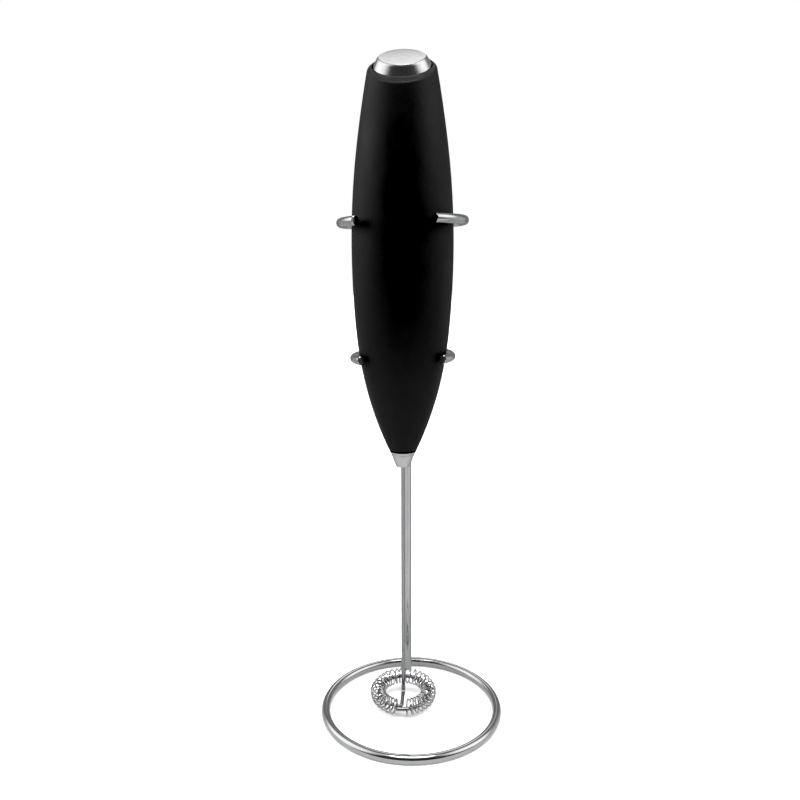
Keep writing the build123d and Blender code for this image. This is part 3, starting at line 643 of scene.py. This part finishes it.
def build_button_spring():
    """One wound wire with a closed turn at each end."""
    low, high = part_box("button_spring")
    centre = (low + high) / 2
    radius = (high.x - low.x) / 2 - SPRING_WIRE_R
    climb = high.z - low.z - 2 * SPRING_WIRE_R
    path = []
    for i in range(SPRING_TURNS * SPRING_STEPS + 1):
        turns = i / SPRING_STEPS
        rise = min(max((turns - 1) / (SPRING_TURNS - 2), 0), 1)
        a = 2 * math.pi * turns
        path.append(Vector((centre.x + radius * math.cos(a), centre.y + radius * math.sin(a),
                            low.z + SPRING_WIRE_R + climb * rise)))
    spring = finish_piece(sweep("button_coil_spring", path, SPRING_WIRE_R, 10), "handle", "spring_steel",
                          SPRING, "button_spring")
    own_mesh(spring)


# ---------------------------------------------------------------- studio

# Soft panels of the studio, seen in reflections only. Azimuth 0 is the front and 90 the right:
# (azimuth, elevation, radius of the even part, radius where it has faded, brightness)
PANELS = [
    (-88, 34, 10, 44, 1.9),
    (86, 38, 8, 36, 1.9),
    (-112, 0, 12, 38, 0.26),
    (112, 0, 12, 38, 0.45),
    (0, 78, 10, 26, 1.3),
    (180, 43, 2, 14, 1.8)]
DIM_FRONT = 0.07
DIM_BACK = 0.30
GLOW_FRONT = 0.80                   # what reflections see of the floor, in front and at the back
GLOW_BACK = 0.45
GLOW_FROM, GLOW_TO = -40 * MM, 50 * MM
GLOW_DEPTH = 0.2 * MM               # the reflected sheet lies this far under the floor
BLACK_LEVEL = 0.014                 # the grade sinks the darkest tones, as a product picture does
FLOOR_HALF, GLOW_HALF = 4.0, 0.6    # half the side of each sheet
FLOOR_GREY = (0.80, 0.80, 0.80, 1)
WASH_ENERGY = 6.0                   # keeps the floor white under the object
SOFT_BOX_PLACE = (0.02, -0.18, 1.0)
SOFT_BOX_AIM = (0, 0, 0.1)


def direction(azimuth, elevation):
    """Unit vector towards a place in the studio, from the front (-Y) round to the right."""
    a, e = math.radians(azimuth), math.radians(elevation)
    return Vector((math.sin(a) * math.cos(e), -math.cos(a) * math.cos(e), math.sin(e)))


def build_world():
    """White behind the object, and a dim room with soft panels in every reflection."""
    world = bpy.data.worlds.new("studio")
    bpy.context.scene.world = world
    world.use_nodes = True
    tree = world.node_tree
    tree.nodes.clear()
    where = tree.nodes.new("ShaderNodeTexCoord").outputs["Generated"]

    def fade(towards, low, high, bottom, top):
        """A smooth step over the angle to one direction."""
        dot = tree.nodes.new("ShaderNodeVectorMath")
        dot.operation = "DOT_PRODUCT"
        dot.inputs[1].default_value = towards
        tree.links.new(where, dot.inputs[0])
        step = tree.nodes.new("ShaderNodeMapRange")
        step.interpolation_type = "SMOOTHSTEP"
        step.inputs["From Min"].default_value = low
        step.inputs["From Max"].default_value = high
        step.inputs["To Min"].default_value = bottom
        step.inputs["To Max"].default_value = top
        tree.links.new(dot.outputs["Value"], step.inputs["Value"])
        return step.outputs["Result"]

    total = fade((0, 1, 0), -1, 1, DIM_FRONT, DIM_BACK)
    for azimuth, elevation, even, faded, brightness in PANELS:
        panel = fade(direction(azimuth, elevation), math.cos(math.radians(faded)),
                     math.cos(math.radians(even)), 0, brightness)
        both = tree.nodes.new("ShaderNodeMath")
        both.operation = "ADD"
        tree.links.new(total, both.inputs[0])
        tree.links.new(panel, both.inputs[1])
        total = both.outputs["Value"]

    room = tree.nodes.new("ShaderNodeBackground")
    tree.links.new(total, room.inputs["Strength"])
    white = tree.nodes.new("ShaderNodeBackground")
    white.inputs["Color"].default_value = (1, 1, 1, 1)
    rays = tree.nodes.new("ShaderNodeLightPath")
    choose = tree.nodes.new("ShaderNodeMixShader")
    tree.links.new(rays.outputs["Is Camera Ray"], choose.inputs["Fac"])
    tree.links.new(room.outputs["Background"], choose.inputs[1])
    tree.links.new(white.outputs["Background"], choose.inputs[2])
    output = tree.nodes.new("ShaderNodeOutputWorld")
    tree.links.new(choose.outputs["Shader"], output.inputs["Surface"])


def add_light(name, kind, place, towards, **settings):
    """A light at one place, aimed at another."""
    light = bpy.data.lights.new(name, kind)
    for key, value in settings.items():
        setattr(light, key, value)
    lamp = bpy.data.objects.new(name, light)
    turn = (Vector(place) - Vector(towards)).to_track_quat("Z", "Y")
    lamp.matrix_world = Matrix.LocRotScale(Vector(place), turn, None)
    bpy.context.scene.collection.objects.link(lamp)
    return lamp


def flat_sheet(name, half, z):
    """A level square of the stage."""
    corners = [(-half, -half, z), (half, -half, z), (half, half, z), (-half, half, z)]
    sheet = mesh_object(name, corners, [(0, 1, 2, 3)])
    return sheet


def floor_glow():
    """Emission that falls off from the front of the floor to its back."""
    glow = Nodes("floor_glow")
    glow.set(Base_Color=(0, 0, 0, 1), Roughness=1.0, Emission_Color=(1, 1, 1, 1))
    shade = glow.add("ShaderNodeMapRange")
    shade.inputs["From Min"].default_value = GLOW_FROM
    shade.inputs["From Max"].default_value = GLOW_TO
    shade.inputs["To Min"].default_value = GLOW_FRONT
    shade.inputs["To Max"].default_value = GLOW_BACK
    glow.link(glow.along(glow.coordinates((1, 1, 1)), "Y"), shade.inputs["Value"])
    glow.link(shade.outputs["Result"], "Emission Strength")
    return glow.material


def build_studio():
    """The grade, the world, the floor, the sheet that stands for it in reflections, two lights."""
    grade = bpy.context.scene.view_settings
    grade.view_transform = "Standard"
    grade.use_curve_mapping = True
    grade.curve_mapping.black_level = (BLACK_LEVEL, BLACK_LEVEL, BLACK_LEVEL)
    grade.curve_mapping.update()
    build_world()

    floor = flat_sheet("floor", FLOOR_HALF, 0.0)
    floor.visible_glossy = False
    paper = Nodes("pale_floor")
    paper.set(Base_Color=FLOOR_GREY, Roughness=0.6)
    floor.data.materials.append(paper.material)

    # What metal reflects from below: the floor, bright in front and shaded at the back.
    card = flat_sheet("floor_glow", GLOW_HALF, -GLOW_DEPTH)
    card.visible_camera = card.visible_diffuse = card.visible_shadow = False
    card.data.materials.append(floor_glow())

    wash = add_light("floor_wash", "SUN", (0, 0, 1), (0, 0, 0),
                     energy=WASH_ENERGY, angle=math.radians(90))
    lit = bpy.data.collections.new("washed_by_floor_wash")
    lit.objects.link(floor)
    wash.light_linking.receiver_collection = lit

    add_light("soft_box_top", "AREA", SOFT_BOX_PLACE, SOFT_BOX_AIM,
              shape="RECTANGLE", size=0.5, size_y=0.3, energy=3)


# ---------------------------------------------------------------- camera

CAMERA_LENS = 34.12
CAMERA_SENSOR = 36
CAMERA_PLACE = Vector((16.8, -262.5, 166.0)) * MM      # fitted to the outlines in the photo
CAMERA_PITCH = math.radians(10.1)
CAMERA_YAW = math.radians(4.53)
CAMERA_ROLL = math.radians(-0.14)


def build_camera():
    """The camera, where the photo's outlines fit the CAD."""
    camera = bpy.data.cameras.new("camera")
    camera.lens = CAMERA_LENS
    camera.sensor_width = CAMERA_SENSOR
    eye = bpy.data.objects.new("camera", camera)
    aim = Matrix.Rotation(CAMERA_YAW, 4, "Z") @ Matrix.Rotation(math.pi / 2 - CAMERA_PITCH, 4, "X")
    eye.matrix_world = Matrix.Translation(CAMERA_PLACE) @ aim @ Matrix.Rotation(CAMERA_ROLL, 4, "Z")
    bpy.context.scene.collection.objects.link(eye)
    bpy.context.scene.camera = eye


# ---------------------------------------------------------------- build

dress_cad_nodes()
build_stand()
build_button()
build_nose()
build_whisk()
build_button_spring()
build_studio()
build_camera()
